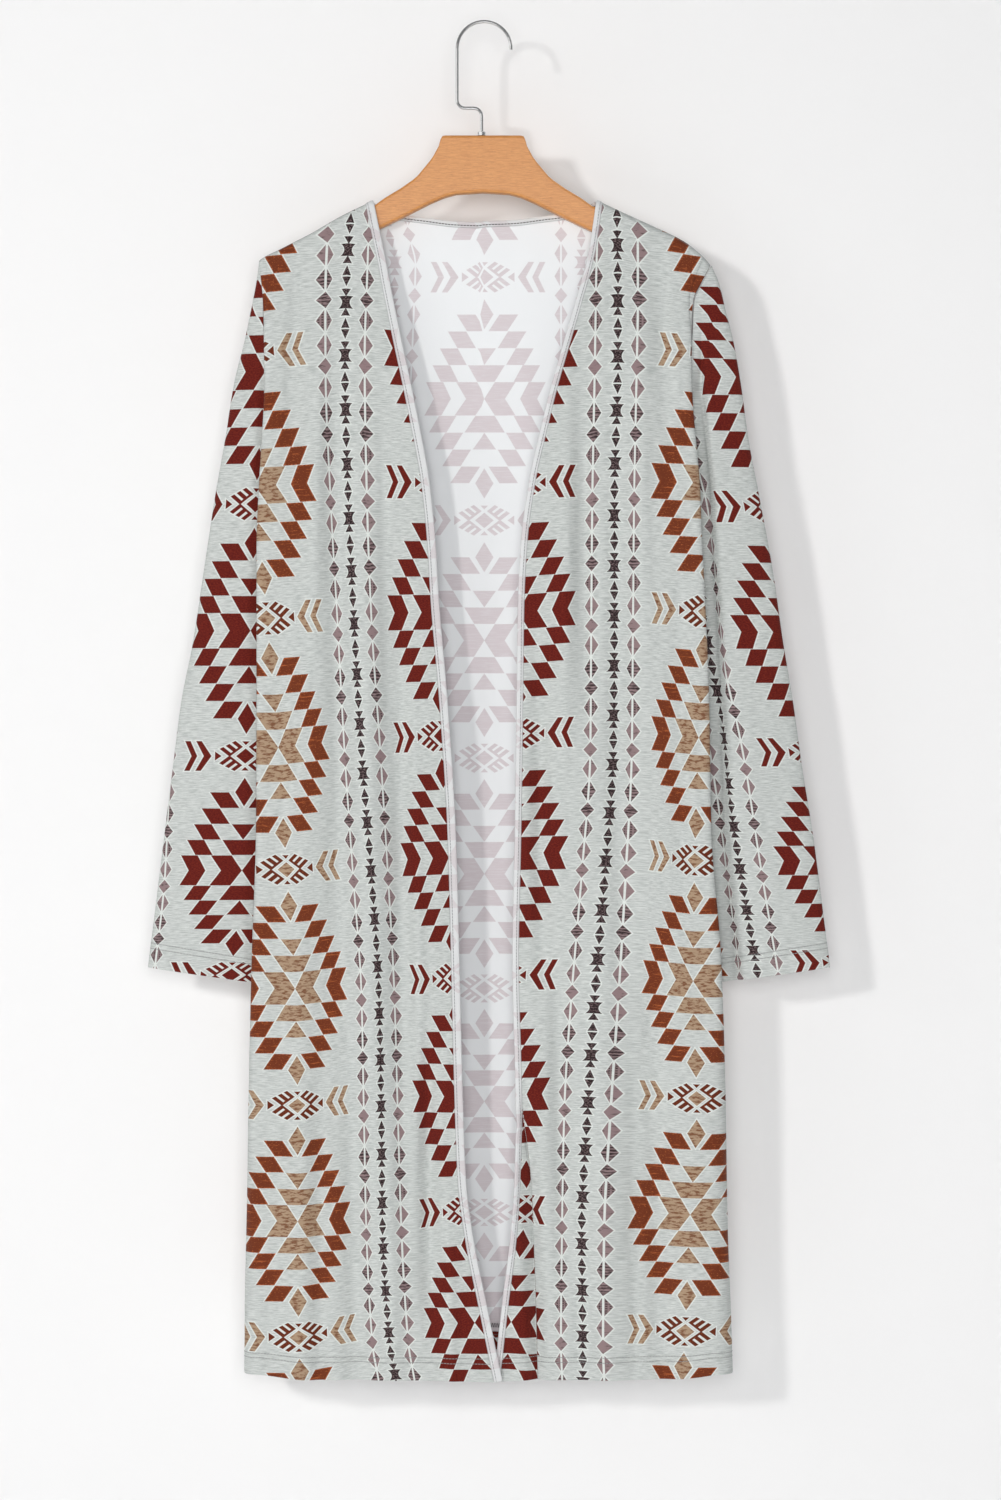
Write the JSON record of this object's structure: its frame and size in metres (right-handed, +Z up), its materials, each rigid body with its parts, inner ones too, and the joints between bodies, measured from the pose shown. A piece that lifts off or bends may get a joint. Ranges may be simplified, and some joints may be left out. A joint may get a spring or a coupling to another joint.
{
  "type": "duster cardigan on a wooden hanger",
  "caption": "Long open-front jersey duster cardigan with long sleeves and a stepped-diamond print, hanging flat on a wooden hanger with a wire hook.",
  "frame": {"origin": "The inside top of the hanger's hook, where a rail or wall hook carries it, on the middle plane between front and back.", "axes": "+Z is up. The cardigan's front faces -Y. +X is to the wearer's left, which is the right of the picture."},
  "size_m": [0.5628, 0.0518, 1.1198],
  "materials": {
    "cloth": "brushed slub jersey with a printed face",
    "binding": "jersey turned to its pale wrong side, stitched flat",
    "hanger_wood": "satin varnished beech",
    "hook_wire": "polished plated wire",
    "ferrule_metal": "polished plated collar"
  },
  "bodies": {
    "root": {"front_right": "cloth", "front_left": "cloth", "back": "cloth", "sleeve_right": "cloth", "sleeve_left": "cloth", "neck_band_right": "binding", "neck_band_left": "binding", "neck_band_back": "binding", "hanger_body": "hanger_wood", "hanger_hook": "hook_wire", "hook_ferrule": "ferrule_metal"}
  },
  "joints": []
}
